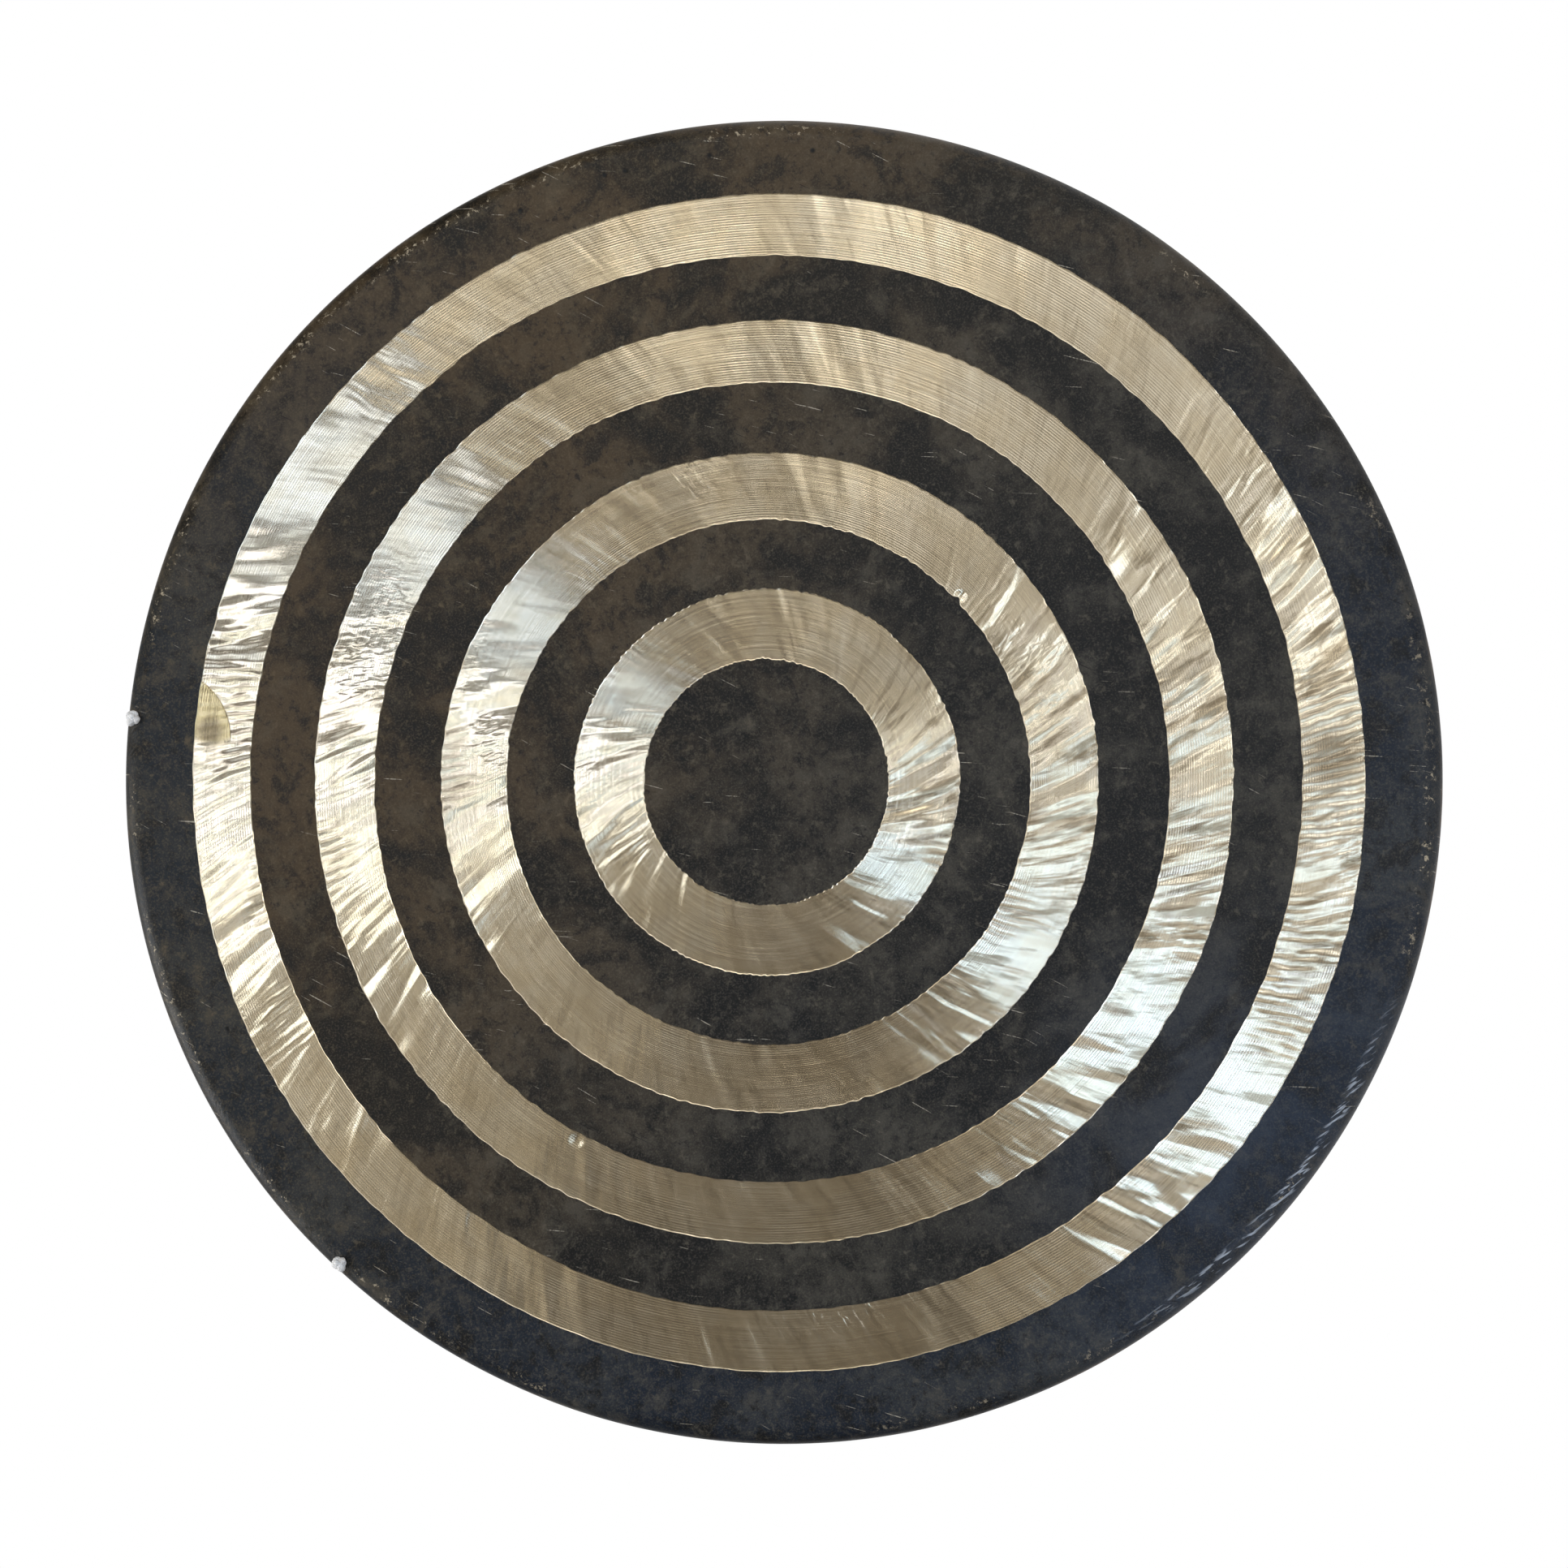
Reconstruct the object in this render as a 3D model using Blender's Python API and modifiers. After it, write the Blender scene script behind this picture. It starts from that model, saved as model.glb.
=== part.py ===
"""Chau gong: a hammered bronze plate with a turned-back rim, hung on a knotted cord.

Units are metres, +Z is up and the face looks along -Y. The origin is where the
middle of the cord rests on the peg or hook that holds the gong.
"""

import math

import bmesh
import bpy
from mathutils import Matrix, Vector

# The gong's outside radius, and the rings of its face: each is a width along the radius.
# The dark rings between the lathed ones share what is left, as marked out by hand.
GONG_RADIUS = 0.4000
CENTRE_DISC_RADIUS = 0.0737
LATHED_WIDTHS = (0.0422, 0.0407, 0.0372, 0.0366)
OUTER_DARK_WIDTH = 0.0325
DARK_SHARES = (0.337, 0.340, 0.323)

# The plate: its sheet, its crown, and how its rim is turned back.
SHEET = 0.0023
CROWN_HEIGHT = 0.0030
LATHE_DEPTH = 0.0003
LATHE_EDGE_WIDTH = 0.0006
SHOULDER_RADIUS = 0.0140
RIM_DEPTH = 0.0580
RIM_TAPER = math.radians(10.0)
PLATE_SEGMENTS = 96
SHOULDER_STEPS = 8

# The cord holes, drilled square to the shoulder at this angle from the face's normal.
HOLE_RADIUS = 0.0030
HOLE_TILT = math.radians(36.0)
HOLE_SEGMENTS = 20

# The cord and its knots.
CORD_RADIUS = 0.0020
KNOT_WIDTH = 0.0110
KNOT_LENGTH = 0.0095
KNOT_HEIGHT = 0.0075
KNOT_SEGMENTS = 20
KNOT_RINGS = 12
CLEARANCE = 0.0003

# The inner mouth of the right hole, seen from the end of the cord's run.
MOUTH_OUTWARD = 0.0085
MOUTH_FORWARD = 0.0060
MOUTH_ABOVE = 0.0045

# The run of cord behind the plate: its right half, from the peg to the end at the hole.
RIGHT_ROUTE = [
    (0.0000, 0.0, 0.0020),
    (0.0060, 0.0, 0.0015),
    (0.0130, 0.0, 0.0001),
    (0.0300, 0.0, -0.0037),
    (0.0550, 0.0, -0.0093),
    (0.0800, 0.0, -0.0149),
    (0.1050, 0.0, -0.0205),
    (0.1300, 0.0, -0.0261),
    (0.1450, 0.0, -0.0294),
    (0.1560, 0.0, -0.0315),
    (0.1640, 0.0, -0.0323),
    (0.1700, 0.0, -0.0325),
]
CORD_POINT_SPACING = 0.0090

# Where the face ends and the shoulder's bend begins.
SHOULDER_START = GONG_RADIUS - SHOULDER_RADIUS


def clear_scene():
    """Remove every object that the file starts with."""
    for item in list(bpy.data.objects):
        bpy.data.objects.remove(item, do_unlink=True)


def add_collection(name):
    """Return a new collection in the scene."""
    collection = bpy.data.collections.new(name)
    bpy.context.scene.collection.children.link(collection)
    return collection


def make_material(name, colour, roughness, metallic):
    """Return a Principled material of one colour."""
    material = bpy.data.materials.new(name)
    material.use_nodes = True
    shader = material.node_tree.nodes["Principled BSDF"]
    shader.inputs["Base Color"].default_value = (*colour, 1.0)
    shader.inputs["Roughness"].default_value = roughness
    shader.inputs["Metallic"].default_value = metallic
    material.diffuse_color = (*colour, 1.0)
    return material


def lathed_rings():
    """Return the inner and outer radius of each lathed ring, from the middle out."""
    free = SHOULDER_START - OUTER_DARK_WIDTH - CENTRE_DISC_RADIUS - sum(LATHED_WIDTHS)
    radius = CENTRE_DISC_RADIUS
    rings = []
    for width, share in zip(LATHED_WIDTHS, DARK_SHARES + (0.0,)):
        rings.append((radius, radius + width))
        radius += width + free * share
    return rings


def crown(radius):
    """Return how far the face stands forward of its edge at this radius."""
    share = min(radius / SHOULDER_START, 1.0)
    return CROWN_HEIGHT * (1.0 - share * share) ** 2


def face_profile():
    """Return the front of the face from the middle out, stepped down at each lathed ring."""
    points = [(0.0, crown(0.0)), (CENTRE_DISC_RADIUS / 2, crown(CENTRE_DISC_RADIUS / 2))]
    for inner, outer in lathed_rings():
        edge = min(LATHE_EDGE_WIDTH, (outer - inner) / 4)
        points.append((inner, crown(inner)))
        points.append((inner + edge, crown(inner + edge) - LATHE_DEPTH))
        points.append((outer - edge, crown(outer - edge) - LATHE_DEPTH))
        points.append((outer, crown(outer)))
    return points


def rim_profile(offset):
    """Return the shoulder and rim of one side of the sheet, this far in from the outside."""
    bend = SHOULDER_RADIUS - offset
    points = []
    for step in range(SHOULDER_STEPS + 1):
        turn = (math.pi / 2 + RIM_TAPER) * step / SHOULDER_STEPS
        points.append((SHOULDER_START + bend * math.sin(turn), bend * math.cos(turn) - SHOULDER_RADIUS))
    radius, height = points[-1]
    drop = height + RIM_DEPTH
    points.append((radius - drop * math.tan(RIM_TAPER), -RIM_DEPTH))
    return points


def back_profile():
    """Return the back of the face from the shoulder in to the middle."""
    radii = [SHOULDER_START * share for share in (0.8, 0.6, 0.4, 0.2, 0.0)]
    return [(radius, crown(radius) - SHEET) for radius in radii]


def make_plate(collection, centre, cutters):
    """Turn the plate's profile about its axis, stand it up and drill its cord holes."""
    outline = face_profile() + rim_profile(0.0) + rim_profile(SHEET)[::-1] + back_profile()
    mesh = bpy.data.meshes.new("gong_plate")
    points = [(radius, 0.0, height) for radius, height in outline]
    edges = [(index, index + 1) for index in range(len(points) - 1)]
    mesh.from_pydata(points, edges, [])
    plate = bpy.data.objects.new("gong_plate", mesh)
    collection.objects.link(plate)
    plate.location = centre
    plate.rotation_euler = (math.pi / 2, 0.0, 0.0)

    turn = plate.modifiers.new("turned", "SCREW")
    turn.axis = "Z"
    turn.angle = 2 * math.pi
    turn.steps = PLATE_SEGMENTS
    turn.render_steps = PLATE_SEGMENTS
    turn.use_merge_vertices = True
    turn.merge_threshold = 0.00001
    for cutter in cutters:
        drill = plate.modifiers.new(cutter.name, "BOOLEAN")
        drill.operation = "DIFFERENCE"
        drill.solver = "EXACT"
        drill.object = cutter
    return plate


def hole_frame(side, route_end):
    """Return the mouth, outward direction and sideways direction of one cord hole.

    The mouth is the middle of the hole on the sheet's inner side. The last value is
    the middle of the plate's face, worked out from where the hole has to be.
    """
    bend = SHOULDER_RADIUS - SHEET
    mouth_radius = SHOULDER_START + bend * math.sin(HOLE_TILT)
    mouth = Vector((route_end.x + MOUTH_OUTWARD, route_end.y - MOUTH_FORWARD, route_end.z + MOUTH_ABOVE))
    around = math.asin(mouth.x / mouth_radius)
    mouth_depth = SHOULDER_RADIUS - bend * math.cos(HOLE_TILT)
    centre = Vector((0.0, mouth.y - mouth_depth, mouth.z - mouth_radius * math.cos(around)))
    radial = Vector((side * math.sin(around), 0.0, math.cos(around)))
    outward = radial * math.sin(HOLE_TILT) + Vector((0.0, -1.0, 0.0)) * math.cos(HOLE_TILT)
    sideways = radial.cross(Vector((0.0, -1.0, 0.0)))
    mouth.x *= side
    return mouth, outward, sideways, centre


def frame_matrix(origin, across, upward):
    """Return the matrix of a frame at origin whose X lies across and whose Z points upward."""
    columns = [across, upward.cross(across), upward]
    matrix = Matrix(columns).transposed().to_4x4()
    matrix.translation = origin
    return matrix


def make_drill(name, collection, mouth, outward, sideways):
    """Return the round cutter of one cord hole."""
    mesh = bpy.data.meshes.new(name)
    shape = bmesh.new()
    bmesh.ops.create_cone(
        shape,
        cap_ends=True,
        segments=HOLE_SEGMENTS,
        radius1=HOLE_RADIUS,
        radius2=HOLE_RADIUS,
        depth=SHEET * 3,
    )
    shape.to_mesh(mesh)
    shape.free()
    drill = bpy.data.objects.new(name, mesh)
    collection.objects.link(drill)
    drill.matrix_world = frame_matrix(mouth + outward * SHEET / 2, sideways, outward)
    drill.hide_render = True
    drill.display_type = "WIRE"
    return drill


def smooth_points(points, spacing):
    """Return points about this far apart on a smooth curve through the given points."""
    given = [Vector(point) for point in points]
    ends = [given[0] * 2 - given[1]] + given + [given[-1] * 2 - given[-2]]
    curve = [given[0]]
    for index in range(1, len(ends) - 2):
        before, start, end, after = ends[index - 1:index + 3]
        count = max(1, round((end - start).length / spacing))
        for step in range(1, count + 1):
            t = step / count
            curve.append(
                0.5
                * (
                    start * 2
                    + (end - before) * t
                    + (before * 2 - start * 5 + end * 4 - after) * t * t
                    + (start * 3 - before - end * 3 + after) * t ** 3
                )
            )
    return curve


def make_tube(name, collection, points):
    """Return a round cord along these points, as a curve with filled caps."""
    data = bpy.data.curves.new(name, "CURVE")
    data.dimensions = "3D"
    data.bevel_depth = CORD_RADIUS
    data.bevel_resolution = 2
    data.use_fill_caps = True
    spline = data.splines.new("POLY")
    spline.points.add(len(points) - 1)
    for place, point in zip(spline.points, points):
        place.co = (*point, 1.0)
    tube = bpy.data.objects.new(name, data)
    collection.objects.link(tube)
    return tube


def as_mesh(tube):
    """Replace a curve object with a closed mesh object of the same shape and name."""
    bpy.context.view_layer.update()
    evaluated = tube.evaluated_get(bpy.context.evaluated_depsgraph_get())
    mesh = bpy.data.meshes.new_from_object(evaluated)
    shape = bmesh.new()
    shape.from_mesh(mesh)
    bmesh.ops.remove_doubles(shape, verts=shape.verts, dist=0.00001)
    bmesh.ops.recalc_face_normals(shape, faces=shape.faces)
    shape.to_mesh(mesh)
    shape.free()
    name = tube.name
    solid = bpy.data.objects.new(name + "_mesh", mesh)
    tube.users_collection[0].objects.link(solid)
    solid.matrix_world = tube.matrix_world
    bpy.data.objects.remove(tube, do_unlink=True)
    solid.name = name
    return solid


def make_run(collection):
    """Make the run of cord behind the plate, the same on both sides of the peg."""
    left = [(-x, y, z) for x, y, z in RIGHT_ROUTE[:0:-1]]
    return make_tube("hanging_cord", collection, smooth_points(left + RIGHT_ROUTE, CORD_POINT_SPACING))


def bezier(start, start_pull, end_pull, end, count):
    """Return evenly stepped points on one cubic curve."""
    points = []
    for step in range(count + 1):
        t = step / count
        s = 1.0 - t
        points.append(start * s ** 3 + start_pull * 3 * s * s * t + end_pull * 3 * s * t * t + end * t ** 3)
    return points


def knot_seat():
    """Return how high the knot's middle stands when the knot sits on its hole's edge."""
    share = min(2 * HOLE_RADIUS / KNOT_WIDTH, 1.0)
    return KNOT_HEIGHT / 2 * math.sqrt(1.0 - share * share)


def make_knot(name, side, collection, cutters, mouth, outward, sideways, run_end):
    """Make one end of the cord: through its hole, and knotted on the outside."""
    middle = mouth + outward * (SHEET + CLEARANCE + knot_seat())
    end = Vector((side * (run_end.x + CLEARANCE), run_end.y, run_end.z))
    inward = Vector((side, 0.0, 0.0))
    reach = (end - mouth).length
    straight_end = end + inward * CORD_RADIUS
    bend = bezier(mouth, mouth - outward * reach * 0.45, straight_end + inward * reach * 0.3, straight_end, 7)
    tube = make_tube(name, collection, [middle] + bend + [end])
    stem = as_mesh(tube)

    mesh = bpy.data.meshes.new(name + "_lump")
    shape = bmesh.new()
    bmesh.ops.create_uvsphere(shape, u_segments=KNOT_SEGMENTS, v_segments=KNOT_RINGS, radius=0.5)
    bmesh.ops.scale(shape, vec=(KNOT_WIDTH, KNOT_LENGTH, KNOT_HEIGHT), verts=shape.verts)
    shape.to_mesh(mesh)
    shape.free()
    lump = bpy.data.objects.new(name + "_lump", mesh)
    cutters.objects.link(lump)
    lump.matrix_world = frame_matrix(middle, sideways, outward)
    lump.hide_render = True
    lump.display_type = "WIRE"

    union = stem.modifiers.new("lump", "BOOLEAN")
    union.operation = "UNION"
    union.solver = "EXACT"
    union.object = lump
    return stem


def shade(item):
    """Smooth an object's round faces and keep its edges."""
    if item.type == "MESH":
        item.data.shade_smooth()
    else:
        for spline in item.data.splines:
            spline.use_smooth = True


def build():
    """Build the whole gong."""
    clear_scene()
    parts = add_collection("chau_gong")
    cutters = add_collection("cutters")
    bronze = make_material("gong_bronze", (0.26, 0.21, 0.15), 0.35, 1.0)
    cord = make_material("cord_white", (0.82, 0.83, 0.82), 0.7, 0.0)
    run_end = Vector(RIGHT_ROUTE[-1])

    drills = []
    knots = []
    for side, word in ((1, "right"), (-1, "left")):
        mouth, outward, sideways, centre = hole_frame(side, run_end)
        drills.append(make_drill("drill_" + word, cutters, mouth, outward, sideways))
        knots.append(make_knot("knot_" + word, side, parts, cutters, mouth, outward, sideways, run_end))

    plate = make_plate(parts, centre, drills)
    plate.data.materials.append(bronze)
    run = make_run(parts)
    swing = bpy.data.objects.new("gong_swing", None)
    parts.objects.link(swing)
    swing.location = (0.0, run_end.y, run_end.z)
    bpy.context.view_layer.update()
    for item in [plate] + knots:
        placed = item.matrix_world.copy()
        item.parent = swing
        item.matrix_parent_inverse = swing.matrix_world.inverted()
        item.matrix_world = placed
    for item in [run] + knots:
        item.data.materials.append(cord)
    for item in [plate, run] + knots:
        shade(item)


build()
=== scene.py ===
"""The looks of a chau gong: lathed and dark bronze rings, a hammered rim, and a knotted white cord."""

import math

import bmesh
import bpy
import numpy as np
from mathutils import Matrix, Vector


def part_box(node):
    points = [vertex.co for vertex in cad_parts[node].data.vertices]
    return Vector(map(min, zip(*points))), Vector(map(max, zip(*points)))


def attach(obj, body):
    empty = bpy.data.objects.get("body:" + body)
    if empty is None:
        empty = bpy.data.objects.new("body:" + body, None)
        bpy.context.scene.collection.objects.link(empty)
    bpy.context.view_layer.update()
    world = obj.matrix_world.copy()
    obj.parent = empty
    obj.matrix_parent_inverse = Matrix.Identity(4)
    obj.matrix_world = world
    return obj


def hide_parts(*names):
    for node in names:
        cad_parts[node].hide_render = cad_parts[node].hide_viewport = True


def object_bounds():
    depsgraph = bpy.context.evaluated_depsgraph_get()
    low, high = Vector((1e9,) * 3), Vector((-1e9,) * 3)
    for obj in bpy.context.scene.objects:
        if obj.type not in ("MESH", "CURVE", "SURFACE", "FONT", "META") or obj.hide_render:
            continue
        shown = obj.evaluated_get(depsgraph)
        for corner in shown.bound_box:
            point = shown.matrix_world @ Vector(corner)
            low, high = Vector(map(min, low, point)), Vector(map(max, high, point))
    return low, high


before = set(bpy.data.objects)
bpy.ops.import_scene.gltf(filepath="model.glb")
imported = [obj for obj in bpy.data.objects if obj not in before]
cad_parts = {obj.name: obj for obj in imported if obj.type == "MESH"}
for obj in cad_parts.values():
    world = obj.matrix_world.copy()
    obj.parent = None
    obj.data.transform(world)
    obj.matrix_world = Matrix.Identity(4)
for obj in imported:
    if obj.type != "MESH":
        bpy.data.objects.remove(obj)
cad_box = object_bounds()

# The plate, in metres, as the solids have it.
GONG_RADIUS = 0.400
SHOULDER_RADIUS = 0.014
SHEET = 0.0023
CROWN_HEIGHT = 0.0030
LATHE_DEPTH = 0.0003
RIM_TAPER = math.radians(10.0)
SHOULDER_START = GONG_RADIUS - SHOULDER_RADIUS
PLATE_LOW, PLATE_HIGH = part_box("gong_plate")
RIM_DEPTH = PLATE_HIGH.y - PLATE_LOW.y - CROWN_HEIGHT
CENTRE = Vector((0.0, PLATE_LOW.y + CROWN_HEIGHT, (PLATE_LOW.z + PLATE_HIGH.z) / 2))

# Radii of the face's ring edges, from the middle out: a lathed ring lies inside each pair.
RING_EDGES = (0.0737, 0.1159, 0.1574, 0.1981, 0.2399, 0.2771, 0.3169, 0.3535)

# The lathe tool's feed on the outer rings and on the innermost, and how far one re-cut patch is skewed.
FINE_PITCH = 0.0015
COARSE_PITCH = 0.0034
RIPPLE_PITCH = 0.0058
RIPPLE_SPOT = (2.6, 0.335)
RECUT_TURN = 0.80

# The re-cut patch: its arc, how far down the patch reaches, and the end where its painted shade is darkest, each as a
# picture bearing in degrees and a radius.
RECUT_ARC = (175.8, 0.3727)
RECUT_ARC_RADIUS = 0.0423
RECUT_MIDDLE = (172.8, 0.3430)
RECUT_SHADE_END = (174.8, 0.3442)

# The picture bearing of the side where the tool chattered most, how much more than on the other side, and the
# bearing across the gong at which the rings are smooth.
ROUGH_BEARING = -8.0
ROUGHER_RIGHT = 1.5
CALM_BEARING = -34.0

# The picture bearing towards which the forged skin turns from brown to black.
BLACKEST_BEARING = -25.0

# The worn line where the face turns into the shoulder, and the painted bluish-white glints on glossy marks along it:
# their bearing in the picture in degrees, which also centres a painted blue sheen, and the turn that lays their lines.
WORN_RADIUS = 0.3905
GLINT_BEARING = -38.0
GLINT_TURN = math.radians(103.7)

# Dark pits in the outer dark ring: picture bearing in degrees and radius.
PITS = ((105.0, 0.3790), (103.1, 0.3780), (113.4, 0.3770), (95.2, 0.3780), (85.8, 0.3790), (204.5, 0.3640))

# The cord and its two holes.
CORD_RADIUS = 0.0020
HOLE_TILT = math.radians(36.0)
MOUTH_FROM_ROUTE = Vector((0.0085, -0.0060, 0.0045))
CORD_GAP = 0.0003
KNOT_LOOP = 0.00112
KNOT_RISE = 0.0017
KNOT_TAIL = 0.0030
KNOT_INWARD = 0.0050
KNOT_FLAT = 0.62
KNOT_SINK = 0.0008
BRAID_STRANDS = 6
BRAID_PITCH = 0.0130
BRAID_RELIEF = 0.00022
RIGHT_ROUTE = [
    (0.0000, 0.0, 0.0020),
    (0.0060, 0.0, 0.0015),
    (0.0130, 0.0, 0.0001),
    (0.0300, 0.0, -0.0037),
    (0.0550, 0.0, -0.0093),
    (0.0800, 0.0, -0.0149),
    (0.1050, 0.0, -0.0205),
    (0.1300, 0.0, -0.0261),
    (0.1450, 0.0, -0.0294),
    (0.1560, 0.0, -0.0315),
    (0.1640, 0.0, -0.0323),
    (0.1700, 0.0, -0.0325),
]

# The picture's frame, and where the gong lies in it, in pixels.
PICTURE_SIZE = 1932
PICTURE_GONG = (944.3, 963.8)
PIXELS_PER_METRE = 2056.0
CAMERA_DISTANCE = 1.6
CAMERA_TILT = math.radians(5.6)
GONG_UP_IN_PICTURE = math.radians(201.3)
SENSOR = 36.0

# How finely the plate's skin is modelled: turns round it, and rows of points in a ring's width.
TURNS = 768
LATHED_ROWS = 6
SKIN_ROWS = 7
LIP = 0.00035
CALM_WIDTH = 0.09

# The lathed rings' middles lie about one step apart.
RING_FIRST = 0.0148
RING_STEP = 0.0801

# The floor's distance below the gong, and the radii between which it turns from pale to white.
FLOOR_DROP = 0.60
FLOOR_PALE_TO = (0.45, 1.00)


def picture_axes():
    """Return the directions of the picture's right and up, laid in the plane of the gong's face."""
    turn = math.pi / 2 - GONG_UP_IN_PICTURE
    right = Vector((math.cos(turn), 0.0, math.sin(turn)))
    up = Vector((-math.sin(turn), 0.0, math.cos(turn)))
    return right, up


PICTURE_RIGHT, PICTURE_UP = picture_axes()
FACE_OUT = Vector((0.0, -1.0, 0.0))


def add_camera():
    """Place the camera where the photograph was taken from, rolled as the photograph is."""
    back = FACE_OUT * math.cos(CAMERA_TILT) + PICTURE_RIGHT * math.sin(CAMERA_TILT)
    right = PICTURE_UP.cross(back)
    across = (PICTURE_SIZE / 2 - PICTURE_GONG[0]) / PIXELS_PER_METRE
    down = (PICTURE_SIZE / 2 - PICTURE_GONG[1]) / PIXELS_PER_METRE
    target = CENTRE + right * across - PICTURE_UP * down
    data = bpy.data.cameras.new("camera")
    data.sensor_fit = "HORIZONTAL"
    data.sensor_width = SENSOR
    data.lens = SENSOR * PIXELS_PER_METRE * CAMERA_DISTANCE / PICTURE_SIZE
    data.clip_start = 0.01
    camera = bpy.data.objects.new("camera", data)
    bpy.context.scene.collection.objects.link(camera)
    turn = Matrix((right, PICTURE_UP, back)).transposed().to_4x4()
    camera.matrix_world = Matrix.Translation(target + back * CAMERA_DISTANCE) @ turn
    bpy.context.scene.camera = camera


def face_place(bearing, radius):
    """Return the place on the gong's face, from its middle, at this picture bearing and radius."""
    turn = math.radians(bearing)
    place = (PICTURE_RIGHT * math.cos(turn) + PICTURE_UP * math.sin(turn)) * radius
    return (place.x, 0.0, place.z)


class Nodes:
    """A short way to write a material's or the world's nodes."""

    def __init__(self, tree):
        self.tree = tree

    def add(self, kind, settings=None, **inputs):
        """Add a node, set its settings, and set or link its inputs by name."""
        node = self.tree.nodes.new(kind)
        for key, value in (settings or {}).items():
            setattr(node, key, value)
        for key, value in inputs.items():
            self.feed(node, key.replace("_", " "), value)
        return node

    def feed(self, node, key, value):
        """Set one input of a node, or link it to another node's output."""
        socket = node.inputs[int(key[1:])] if key[1:].isdigit() else node.inputs[key]
        if isinstance(value, bpy.types.Node):
            value = value.outputs[0]
        if isinstance(value, bpy.types.NodeSocket):
            self.tree.links.new(value, socket)
        else:
            socket.default_value = value

    def math(self, operation, first, second=0.0, third=0.0):
        """Add a Math node of up to three values."""
        return self.add("ShaderNodeMath", {"operation": operation}, i0=first, i1=second, i2=third)

    def vector(self, operation, first, second=(0.0, 0.0, 0.0)):
        """Add a Vector Math node."""
        return self.add("ShaderNodeVectorMath", {"operation": operation}, i0=first, i1=second)

    def noise(self, vector, scale, detail=3.0, roughness=0.5, distortion=0.0):
        """Add a noise texture and return its value."""
        node = self.add("ShaderNodeTexNoise", None, Vector=vector, Scale=scale, Detail=detail)
        node.inputs["Roughness"].default_value = roughness
        node.inputs["Distortion"].default_value = distortion
        return node.outputs[0]

    def ramp(self, value, low, high, to_low=0.0, to_high=1.0, smooth=True):
        """Map a value from one range to another, clamped."""
        node = self.add("ShaderNodeMapRange", None, i0=value, i1=low, i2=high, i3=to_low, i4=to_high)
        node.interpolation_type = "SMOOTHSTEP" if smooth else "LINEAR"
        return node.outputs[0]

    def mix(self, share, first, second):
        """Mix two colours."""
        node = self.tree.nodes.new("ShaderNodeMix")
        node.data_type = "RGBA"
        self.feed(node, "i0", share)
        self.feed(node, "i6", first)
        self.feed(node, "i7", second)
        return node.outputs[2]


def rgb(red, green, blue):
    """Return a colour with full alpha."""
    return (red, green, blue, 1.0)


def new_material(name):
    """Return a material, its nodes helper and its Principled shader."""
    material = bpy.data.materials.new(name)
    material.use_nodes = True
    nodes = Nodes(material.node_tree)
    return material, nodes, material.node_tree.nodes["Principled BSDF"]


def polar_parts(nodes):
    """Return the place on the gong, its radius, and a unit vector from the gong's middle."""
    place = nodes.add("ShaderNodeTexCoord").outputs["Object"]
    flat = nodes.vector("MULTIPLY", place, (1.0, 0.0, 1.0)).outputs[0]
    radius = nodes.vector("LENGTH", flat).outputs["Value"]
    outward = nodes.vector("NORMALIZE", flat).outputs[0]
    return place, radius, outward


def ring_radius(nodes, radius):
    """Return the radius of the nearest lathed ring's middle, so that marks keep one size on all four."""
    steps = nodes.math("ROUND", nodes.math("MULTIPLY_ADD", radius, 1 / RING_STEP, -RING_FIRST / RING_STEP))
    return nodes.math("MULTIPLY_ADD", steps, RING_STEP, RING_FIRST).outputs[0]


def around_the_gong(nodes, radius, outward, along, across, lean=0.0):
    """Return a texture place that runs round the gong without a seam.

    A unit of noise is 1/along metres round a ring and 1/across metres along the radius.
    The pattern leans from the radius by an angle whose tangent is lean.
    """
    turn = nodes.math("MULTIPLY", nodes.math("LOGARITHM", radius, math.e), lean)
    turned = nodes.add("ShaderNodeVectorRotate", {"rotation_type": "Y_AXIS"}, Vector=outward, Angle=turn)
    reach = nodes.math("MULTIPLY", ring_radius(nodes, radius), along)
    wide = nodes.add("ShaderNodeVectorMath", {"operation": "SCALE"}, i0=turned, i3=reach).outputs[0]
    depth = nodes.add("ShaderNodeCombineXYZ", None, Y=nodes.math("MULTIPLY", radius, across))
    return nodes.vector("ADD", wide, depth).outputs[0]


def chatter(nodes, parts, along, across, lean, height, patch_scale, patch_from, least=0.25):
    """Return the relief of tool chatter: soft leaning marks across the ring, stronger in some patches."""
    place, radius, outward = parts
    marks = nodes.noise(around_the_gong(nodes, radius, outward, along, across, lean), 1.0, 1.0, 0.4, 0.3)
    level = nodes.math("SUBTRACT", marks, 0.5)
    patches = nodes.noise(nodes.vector("ADD", place, (lean * 7, 0.0, along * 0.01)), patch_scale, 2.0)
    here = nodes.ramp(patches, patch_from, patch_from + 0.14, least, 1.0)
    return nodes.math("MULTIPLY", nodes.math("MULTIPLY", level, here), height).outputs[0]


def near_spot(nodes, place, bearing, radius, inner, outer):
    """Return 1 within inner of a spot on the face, falling to 0 at outer."""
    flat = nodes.vector("MULTIPLY", place, (1.0, 0.0, 1.0))
    gap = nodes.vector("DISTANCE", flat, face_place(bearing, radius)).outputs["Value"]
    return nodes.ramp(gap, outer, inner)


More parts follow.
